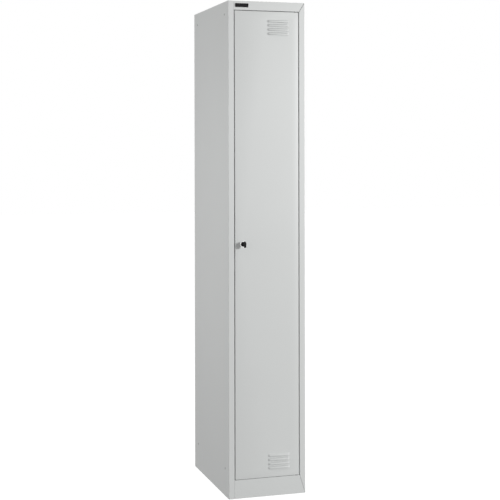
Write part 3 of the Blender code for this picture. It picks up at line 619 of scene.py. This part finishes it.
def foldDoorEdges(piece, low, high):
    # The rim goes back to the door's depth, then in as a lip, and the folds are rounded.
    def onRim(vert):
        sides = min(abs(vert.co.x - low.x), abs(vert.co.x - high.x))
        ends = min(abs(vert.co.z - low.z), abs(vert.co.z - high.z))
        return min(sides, ends) < limits["onRim"]

    def outerEdge(edge):
        return edge.is_boundary and all(onRim(vert) for vert in edge.verts)

    def foldEdge(edge):
        sharp = len(edge.link_faces) == 2 and edge.calc_face_angle(0) > limits["foldAngle"]
        return sharp and all(onRim(vert) for vert in edge.verts)

    middle = (low + high) / 2
    wide, tall = high.x - low.x, high.z - low.z
    shrink = (1 - 2 * doorSheet["lip"] / wide, 1, 1 - 2 * doorSheet["lip"] / tall)
    pick(piece, "edges", outerEdge)
    bpy.ops.mesh.extrude_region_move(TRANSFORM_OT_translate={"value": (0, high.y - frontY, 0)})
    bpy.ops.mesh.extrude_region_move(TRANSFORM_OT_translate={"value": (0, 0, 0)})
    bpy.ops.transform.resize(value=shrink, center_override=middle)
    pick(piece, "edges", foldEdge)
    bpy.ops.mesh.bevel(offset=doorSheet["fold"], segments=doorSheet["foldSteps"])


def faceFrontOut(piece):
    # The sheet's largest faces look forwards before it gets its thickness.
    goEdit(piece)
    bpy.ops.mesh.select_all(action="SELECT")
    bpy.ops.mesh.normals_make_consistent(inside=False)
    goObject()
    flat = [face for face in piece.data.polygons if abs(face.normal.y) > limits["facing"]]
    widest = max(flat, key=lambda face: face.area)
    if widest.normal.y > 0:
        goEdit(piece)
        bpy.ops.mesh.select_all(action="SELECT")
        bpy.ops.mesh.flip_normals()
        goObject()


def buildDoorSkin():
    low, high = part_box("door_panel")
    middle = ((low.x + high.x) / 2, frontY, (low.z + high.z) / 2)
    clearSelection()
    bpy.ops.mesh.primitive_plane_add(size=1, location=middle, rotation=(math.radians(90), 0, 0))
    door = bpy.context.object
    door.name = "doorSkin"
    door.scale = (high.x - low.x, high.z - low.z, 1)
    applyPlace(door)
    goEdit(door)
    pitch, count = doorSheet["louvrePitch"], doorSheet["louvreCount"]
    groups = []
    for groupMiddle in (high.z - doorSheet["groupFromEnd"], low.z + doorSheet["groupFromEnd"]):
        levels = [groupMiddle + (k - (count - 1) / 2) * pitch for k in range(count)]
        cutLouvreGrid(door, low, high, levels)
        groups += levels
    for level in groups:
        pressLouvre(door, level)
    foldDoorEdges(door, low, high)
    goObject()
    faceFrontOut(door)
    useModifier(door, "SOLIDIFY", thickness=doorSheet["thick"], offset=-1, use_even_offset=True)
    lock = boxMiddle("lock_housing")
    drill = doorSheet["drill"]
    carve(door, rod("lockDrill", (lock.x, frontY, lock.z), (0, 1, 0), doorSheet["lockHole"], drill))
    for node, level in (("hinge_bush_top", high.z), ("hinge_bush_bottom", low.z)):
        bush = boxMiddle(node)
        carve(door, rod("bushDrill", (bush.x, bush.y, level), (0, 0, 1), doorSheet["bushHole"], drill))
    smooth(door, angle=40)
    finishPiece(door, "door_panel")
    print("door skin:", len(door.data.polygons), "faces,", len(groups), "louvres")


buildDoorSkin()


labelSpec = {
    "rim": 0.0018,
    "pocket": 0.0010,
    "round": 0.0004,
    "cardRound": 0.00015,
    "cornerRound": 0.0014,
    "cornerSteps": 5,
}


def buildLabel():
    low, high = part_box("label_holder")
    holder = block("labelHolder", low, high)
    goEdit(holder)
    pick(holder, "edges", runsAlong("y"))
    bpy.ops.mesh.bevel(offset=labelSpec["cornerRound"], segments=labelSpec["cornerSteps"])
    pick(holder, "faces", looksAlong("y", -1))
    bpy.ops.mesh.inset(thickness=labelSpec["rim"])
    bpy.ops.mesh.extrude_region_move(TRANSFORM_OT_translate={"value": (0, labelSpec["pocket"], 0)})
    goObject()
    soften(holder, labelSpec["round"], segments=3, angle=50)
    smooth(holder)
    finishPiece(holder, "label_holder")
    card = block("labelCard", *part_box("label_card"))
    goEdit(card)
    pick(card, "faces", looksAlong("y", -1))
    bpy.ops.mesh.inset(thickness=labelSpec["rim"])
    goObject()
    soften(card, labelSpec["cardRound"])
    smooth(card)
    finishPiece(card, "label_card")
    print("label: holder and blank card")


buildLabel()


lockSpec = {
    "housing": [
        (0.00886, 0.0026, 0), (0.00920, 0.0030, 0.0003), (0.0110, 0.0030, 0.0008),
        (0.0120, 0.0014, 0.0009), (0.0120, 0.0003, 0.0002), (0.0104, 0.0003, 0),
        (0.0104, -0.0012, 0),
    ],
    "threadFrom": -0.0020,
    "threadTo": -0.0160,
    "threadPitch": 0.0010,
    "threadRadius": 0.0104,
    "threadDepth": 0.0004,
    "housingEnd": [(0.0102, -0.0170, 0.0002), (0.00886, -0.0170, 0)],
    "nutRadius": 0.0145,
    "nutBore": 0.0107,
    "nutChamfer": [
        (0, 0, 0), (0.0131, 0, 0), (0.0147, 0.0009, 0), (0.0147, 0.0031, 0), (0.0131, 0.0040, 0),
        (0, 0.0040, 0),
    ],
    "face": [(0, 0.0032, 0), (0.0088, 0.0032, 0.0005), (0.0088, 0.0017, 0), (0, 0.0017, 0)],
    "plug": [(0, 0.0014, 0), (0.0088, 0.0014, 0.0002), (0.0088, -0.0210, 0.0003), (0, -0.0210, 0)],
    "plugEnd": 0.0210,
    "shank": 0.0040,
    "shankRoot": 0.0010,
    "keyway": (0.0013, 0.00405),         # half its width and half its height
    "keywayDepth": 0.0163,
    "cutReach": 0.010,                   # how far the keyway's cutter sticks out at an open end
    "screwBore": (0.0022, 0.006),        # radius and length of the drill
    "camEnd": 0.0066,
    "camEndSteps": 10,
    "camRound": 0.0003,
    "camSquare": 0.0043,
    "camCut": 0.001,                     # how far the square cutter sticks out of the cam
    "screw": [
        (0, -0.0022, 0), (0.0019, -0.0022, 0.0003), (0.0019, 0.0003, 0), (0.0060, 0.0003, 0.0002),
        (0.0060, 0.0016, 0.0007), (0.0040, 0.0032, 0.0014), (0, 0.0032, 0),
    ],
    "screwCrown": 0.0032,
    "slot": (0.0030, 0.0006, 0.0012),    # half its length, half its width, and its depth
}


def housingProfile():
    profile = list(lockSpec["housing"])
    crest, pitch = lockSpec["threadRadius"], lockSpec["threadPitch"]
    root = crest - lockSpec["threadDepth"]
    along = lockSpec["threadFrom"]
    while along > lockSpec["threadTo"]:
        profile += [(crest, along, 0), (root, along - pitch / 2, 0)]
        along -= pitch
    return profile + lockSpec["housingEnd"]


def keywayBlock(lock, near, far):
    wide, tall = lockSpec["keyway"]
    return block("keyway", (lock.x - wide, near, lock.z - tall), (lock.x + wide, far, lock.z + tall))


def buildLockBody(lock):
    forwards = (0, -1, 0)
    housing = turnPiece("lockHousing", housingProfile(), lock, forwards, closed=True)
    smooth(housing)
    finishPiece(housing, "lock_housing")

    low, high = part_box("lock_nut")
    middle, thick = (low + high) / 2, high.y - low.y
    nut = rod("lockNut", middle, (0, 1, 0), lockSpec["nutRadius"], thick, sides=6)
    start = (lock.x, low.y, lock.z)
    carve(nut, turnPiece("nutChamfer", lockSpec["nutChamfer"], start, (0, 1, 0)), "INTERSECT")
    carve(nut, rod("nutDrill", middle, (0, 1, 0), lockSpec["nutBore"], 2 * thick))
    smooth(nut, angle=20)
    finishPiece(nut, "lock_nut")

    face = turnPiece("lockFace", lockSpec["face"], lock, forwards)
    past = lockSpec["cutReach"]
    carve(face, keywayBlock(lock, frontY - past, frontY + past))
    smooth(face)
    finishPiece(face, "lock_face")

    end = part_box("lock_plug")[1].y
    plug = turnPiece("lockPlug", lockSpec["plug"], lock, forwards)
    half = lockSpec["shank"]
    shankLow = (lock.x - half, frontY + lockSpec["plugEnd"] - lockSpec["shankRoot"], lock.z - half)
    carve(plug, block("shank", shankLow, (lock.x + half, end, lock.z + half)), "UNION")
    carve(plug, keywayBlock(lock, frontY - past, frontY + lockSpec["keywayDepth"]))
    carve(plug, rod("screwDrill", (lock.x, end, lock.z), (0, 1, 0), *lockSpec["screwBore"]))
    smooth(plug)
    finishPiece(plug, "lock_plug")


def buildCam(lock):
    low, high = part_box("lock_cam")
    cam = block("lockCam", low, high)
    goEdit(cam)
    pick(cam, "edges", runsAlong("y"))
    bpy.ops.mesh.bevel(offset=lockSpec["camEnd"], segments=lockSpec["camEndSteps"])
    goObject()
    soften(cam, lockSpec["camRound"], angle=50)
    half, past = lockSpec["camSquare"], lockSpec["camCut"]
    squareLow = (lock.x - half, low.y - past, lock.z - half)
    squareHigh = (lock.x + half, high.y + past, lock.z + half)
    carve(cam, block("camSquare", squareLow, squareHigh))
    smooth(cam)
    finishPiece(cam, "lock_cam")

    start = Vector((lock.x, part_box("lock_plug")[1].y, lock.z))
    screw = turnPiece("camScrew", lockSpec["screw"], start, (0, 1, 0))
    crossSlot(screw, start + Vector((0, lockSpec["screwCrown"], 0)))
    smooth(screw)
    finishPiece(screw, "cam_screw")


def crossSlot(piece, top):
    # Two crossing slots, cut into the crown of a screw that looks back.
    length, width, depth = lockSpec["slot"]
    for reach in (Vector((length, depth, width)), Vector((width, depth, length))):
        carve(piece, block("slot", top - reach, top + reach))


def buildLock():
    middle = boxMiddle("lock_housing")
    lock = Vector((middle.x, frontY, middle.z))
    buildLockBody(lock)
    buildCam(lock)
    print("lock: housing, nut, face, plug, cam and screw")


buildLock()


keySpec = {
    "cuts": [                            # from the tip, and how deep
        (0.0030, 0.0010), (0.0062, 0.0013), (0.0094, 0.0009), (0.0126, 0.0012),
    ],
    "cutLength": 0.006,
    "tip": 0.0016,
    "tipFrom": 0.0001,
    "groove": (0.0004, 0.0007),          # depth, and half its height
    "grooveLift": 0.0012,
    "grooveFrom": 0.011,                 # from the end that is in the bow
    "groovePast": 0.001,
    "bowCorner": 0.0087,
    "bowCornerSteps": 12,
    "bowRim": 0.0026,
    "bowRecess": 0.00035,
    "bowRound": 0.0005,
    "bowHole": (0.0020, 0.010),          # radius and length of the drill
    "holeFromEnd": 0.0055,
    "slotPlay": 0.0003,
}


def buildKeyBlade():
    low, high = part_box("key_blade")
    middle = (low + high) / 2
    blade = block("keyBlade", low, high)
    goEdit(blade)
    across = runsAlong("x")

    def atTip(edge):
        return across(edge) and all(vert.co.y > high.y - keySpec["tipFrom"] for vert in edge.verts)

    pick(blade, "edges", atTip)
    bpy.ops.mesh.bevel(offset=keySpec["tip"], segments=2)
    goObject()
    for fromTip, depth in keySpec["cuts"]:
        spot = (middle.x, high.y - fromTip, low.z)
        carve(blade, rod("keyCut", spot, (1, 0, 0), depth, keySpec["cutLength"], sides=4))
    deep, half = keySpec["groove"]
    level = middle.z + keySpec["grooveLift"]
    start, past = low.y + keySpec["grooveFrom"], keySpec["groovePast"]
    for side, edge in ((-1, low.x), (1, high.x)):
        near, far = sorted((edge - side * deep, edge + side * past))
        carve(blade, block("keyGroove", (near, start, level - half), (far, high.y + past, level + half)))
    smooth(blade, angle=20)
    finishPiece(blade, "key_blade")


def buildKeyBow():
    low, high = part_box("key_bow")
    bow = block("keyBow", low, high)
    goEdit(bow)
    pick(bow, "edges", runsAlong("x"))
    bpy.ops.mesh.bevel(offset=keySpec["bowCorner"], segments=keySpec["bowCornerSteps"])
    for side in (-1, 1):
        pick(bow, "faces", looksAlong("x", side))
        bpy.ops.mesh.inset(thickness=keySpec["bowRim"])
        inwards = (-side * keySpec["bowRecess"], 0, 0)
        bpy.ops.mesh.extrude_region_move(TRANSFORM_OT_translate={"value": inwards})
    goObject()
    soften(bow, keySpec["bowRound"], segments=3, angle=50)
    middle = (low + high) / 2
    hole = (middle.x, low.y + keySpec["holeFromEnd"], middle.z)
    carve(bow, rod("bowDrill", hole, (1, 0, 0), *keySpec["bowHole"]))
    play = Vector((keySpec["slotPlay"],) * 3)
    bladeLow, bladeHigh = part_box("key_blade")
    carve(bow, block("bladeSlot", bladeLow - play, bladeHigh + play))
    smooth(bow)
    finishPiece(bow, "key_bow")


buildKeyBlade()
buildKeyBow()
print("key: blade and bow")


railSpec = {
    "wall": 0.0015,
    "edge": 0.0004,
    "socket": [
        (0, 0, 0), (0.0170, 0, 0.0004), (0.0170, 0.0020, 0.0009), (0.0112, 0.0021, 0.0010),
        (0.0105, 0.0140, 0.0006), (0.0083, 0.0140, 0.0004), (0.0083, 0.0020, 0), (0, 0.0020, 0),
    ],
    "screwAt": 0.0138,
    "screwHead": [
        (0, -0.0004, 0), (0.0025, -0.0004, 0), (0.0025, 0.0006, 0.0003), (0.0014, 0.0011, 0.0006),
        (0, 0.0012, 0),
    ],
    "socketBase": 0.0020,
}


def buildCoatRail():
    low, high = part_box("coat_rail")
    middle = (low + high) / 2
    radius = (high.z - low.z) / 2
    half = (high.x - low.x) / 2
    bore = radius - railSpec["wall"]
    edge = railSpec["edge"]
    corners = [(bore, -half, edge), (radius, -half, edge), (radius, half, edge), (bore, half, edge)]
    rail = turnPiece("coatRailTube", corners, middle, (1, 0, 0), closed=True)
    smooth(rail)
    finishPiece(rail, "coat_rail")
    for side, sideName in ((-1, "left"), (1, "right")):
        node = "rail_socket_" + sideName
        socketLow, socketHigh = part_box(node)
        wall = socketLow.x if side < 0 else socketHigh.x
        start = Vector((wall, middle.y, middle.z))
        inwards = (-side, 0, 0)
        socket = turnPiece("railSocket" + sideName.title(), railSpec["socket"], start, inwards)
        for up in (-1, 1):
            seat = start + Vector((-side * railSpec["socketBase"], 0, up * railSpec["screwAt"]))
            screw = turnPiece("socketScrew", railSpec["screwHead"], seat, inwards, steps=32)
            carve(socket, screw, "UNION")
        smooth(socket)
        finishPiece(socket, node)
    print("coat rail: tube and two sockets")


buildCoatRail()


hookSpec = {
    "wire": 0.0015,
    "play": 0.0006,
    "eyeFrom": 250,            # degrees, from straight back and upwards
    "eyeTo": -70,
    "drop": 0.020,
    "crook": 0.010,
    "tip": -205,
    "capRound": 0.0004,
    "steps": (40, 10, 28),     # along the eye, the neck and the crook
}


def arcPoints(middle, radius, start, stop, steps):
    # Points on an arc in the plane of the hook; middle is (back, up) from the rail, angles in degrees.
    points = []
    for k in range(steps + 1):
        turn = math.radians(start + (stop - start) * k / steps)
        points.append(Vector((0, middle[0] + radius * math.cos(turn), middle[1] + radius * math.sin(turn))))
    return points


def buildHook(name, node):
    railMiddle = boxMiddle("coat_rail")
    railLow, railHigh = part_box("coat_rail")
    eye = (railHigh.z - railLow.z) / 2 + hookSpec["play"] + hookSpec["wire"]
    leave = math.radians(hookSpec["eyeTo"])
    neck = eye * math.cos(leave) / (1 - math.cos(leave))
    neckMiddle = ((eye + neck) * math.cos(leave), (eye + neck) * math.sin(leave))
    crook = hookSpec["crook"]
    eyeSteps, neckSteps, crookSteps = hookSpec["steps"]
    points = arcPoints((0, 0), eye, hookSpec["eyeFrom"], hookSpec["eyeTo"], eyeSteps)
    points += arcPoints(neckMiddle, neck, hookSpec["eyeTo"] + 180, 180, neckSteps)[1:]
    points += arcPoints((-crook, -eye - hookSpec["drop"]), crook, 0, hookSpec["tip"], crookSteps)
    clearSelection()
    bpy.ops.curve.primitive_nurbs_path_add()
    hook = bpy.context.object
    hook.name = name
    spline = hook.data.splines[0]
    spline.type = "POLY"
    spline.points.add(len(points) - len(spline.points))
    place = Vector((boxMiddle(node).x, railMiddle.y, railMiddle.z))
    for spot, point in zip(spline.points, points):
        spot.co = (*(place + point), 1)
    hook.data.bevel_depth = hookSpec["wire"]
    hook.data.bevel_resolution = 4
    hook.data.use_fill_caps = True
    makeActive(hook)
    bpy.ops.object.convert(target="MESH")
    tidyMesh(hook)
    soften(hook, hookSpec["capRound"], segments=3, angle=60)
    smooth(hook, angle=50)
    finishPiece(hook, node)


buildHook("coatHookLeft", "coat_hook_left")
buildHook("coatHookRight", "coat_hook_right")
print("coat hooks: 2")


plugSpec = {
    "profile": [
        (0, -0.0006, 0), (0.0026, -0.0006, 0.0002), (0.0030, -0.0001, 0.0002),
        (0.0042, -0.0001, 0.0003), (0.0042, -0.0011, 0.0001), (0.0065, -0.0011, 0.0002),
        (0.0060, -0.0021, 0.0006), (0, -0.0021, 0),
    ],
}


def buildHolePlugs():
    wallLow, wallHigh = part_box("side_panel_left")[0].x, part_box("side_panel_right")[1].x
    for side, sideName, wall in ((-1, "left", wallLow), (1, "right", wallHigh)):
        master = masterStart = None
        for end in ("front", "rear"):
            for level in ("top", "bottom"):
                node = "hole_plug_%s_%s_%s" % (sideName, end, level)
                name = "holePlug" + sideName.title() + end.title() + level.title()
                middle = boxMiddle(node)
                start = Vector((wall, middle.y, middle.z))
                if master:
                    plug = copyPiece(master, name, start - masterStart)
                else:
                    plug = turnPiece(name, plugSpec["profile"], start, (side, 0, 0), steps=40)
                    smooth(plug)
                    master, masterStart = plug, start
                finishPiece(plug, node)
    print("hole plugs: 8")


buildHolePlugs()


bufferSpec = {
    "profile": [
        (0, 0, 0), (0.0035, 0, 0.0003), (0.0035, 0.0030, 0.0007), (0.0028, 0.0036, 0.0006),
        (0, 0.0036, 0),
    ],
}


def buildBuffers():
    first = boxMiddle("door_buffer_1")
    start = Vector((first.x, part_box("door_buffer_1")[1].y, first.z))
    master = turnPiece("doorBuffer1", bufferSpec["profile"], start, (0, -1, 0), steps=40)
    smooth(master)
    finishPiece(master, "door_buffer_1")
    for number in (2, 3):
        node = "door_buffer_%d" % number
        finishPiece(copyPiece(master, "doorBuffer%d" % number, boxMiddle(node) - first), node)
    print("door buffers: 3")


buildBuffers()


hingeSpec = {
    "pinTip": 0.0110,          # from the face of the rail that looks at the door
    "pin": [
        (0, 0.0110, 0), (0.0025, 0.0110, 0.0006), (0.0025, -0.0034, 0), (0.0045, -0.0034, 0.0002),
        (0.0045, -0.0054, 0.0007), (0, -0.0054, 0),
    ],
    "bushRadius": 0.0038,
    "bushBore": 0.00257,
    "bushFlange": 0.0055,
    "bushRounds": (0.0002, 0.0003, 0.0005),    # at the bore, the flange and the tail
    "fit": 0.0003,             # how far the flange stays short of the door's edge
}


def buildHinge(side):
    # The pin comes up from the plinth, or down from the header, into the bush in the door's edge.
    up = 1 if side == "bottom" else -1
    pinLow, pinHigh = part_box("hinge_pin_" + side)
    tip = pinHigh.z if up > 0 else pinLow.z
    axis = (0, 0, up)
    rail = (pinLow + pinHigh) / 2
    rail.z = tip - up * hingeSpec["pinTip"]
    pin = turnPiece("hingePin" + side.title(), hingeSpec["pin"], rail, axis)
    smooth(pin)
    finishPiece(pin, "hinge_pin_" + side)
    bushLow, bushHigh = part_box("hinge_bush_" + side)
    doorLow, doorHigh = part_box("door_panel")
    near, tail = sorted((abs(bushLow.z - rail.z), abs(bushHigh.z - rail.z)))
    far = abs((doorLow.z if up > 0 else doorHigh.z) - rail.z) - hingeSpec["fit"]
    bore, radius, flange = hingeSpec["bushBore"], hingeSpec["bushRadius"], hingeSpec["bushFlange"]
    boreRound, flangeRound, tailRound = hingeSpec["bushRounds"]
    corners = [
        (bore, near, boreRound), (flange, near, flangeRound), (flange, far, flangeRound),
        (radius, far, 0), (radius, tail, tailRound), (bore, tail, boreRound),
    ]
    bush = turnPiece("hingeBush" + side.title(), corners, rail, axis, closed=True)
    smooth(bush)
    finishPiece(bush, "hinge_bush_" + side)


buildHinge("bottom")
buildHinge("top")
print("hinge: 2 pins and 2 bushes")


rivetSpec = {
    "profile": [
        (0, -0.0002, 0), (0.0032, -0.0002, 0), (0.0032, 0.0005, 0.0002), (0.0021, 0.0013, 0.0009),
        (0, 0.0014, 0),
    ],
    "legThick": 0.0008,
}


def buildClipRivets():
    for sideName, side in (("left", -1), ("right", 1)):
        for end in ("front", "rear"):
            low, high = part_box("shelf_clip_%s_%s" % (sideName, end))
            wall = low.x if side < 0 else high.x
            start = (wall - side * rivetSpec["legThick"], (low.y + high.y) / 2, (low.z + high.z) / 2)
            name = "clipRivet" + sideName.title() + end.title()
            rivet = turnPiece(name, rivetSpec["profile"], start, (-side, 0, 0), steps=32)
            smooth(rivet)
            finishPiece(rivet, body="carcass", slot="zinc_plate")
    print("clip rivets: 4")


buildClipRivets()


floorSize = 40


def buildFloor():
    clearSelection()
    bpy.ops.mesh.primitive_plane_add(size=floorSize)
    floor = bpy.context.object
    floor.name = "paleFloor"
    floor.data.materials.append(paleFloor())
    floor.visible_diffuse = False        # the world lights the cabinet from below instead


buildFloor()
print("floor: pale and plain")
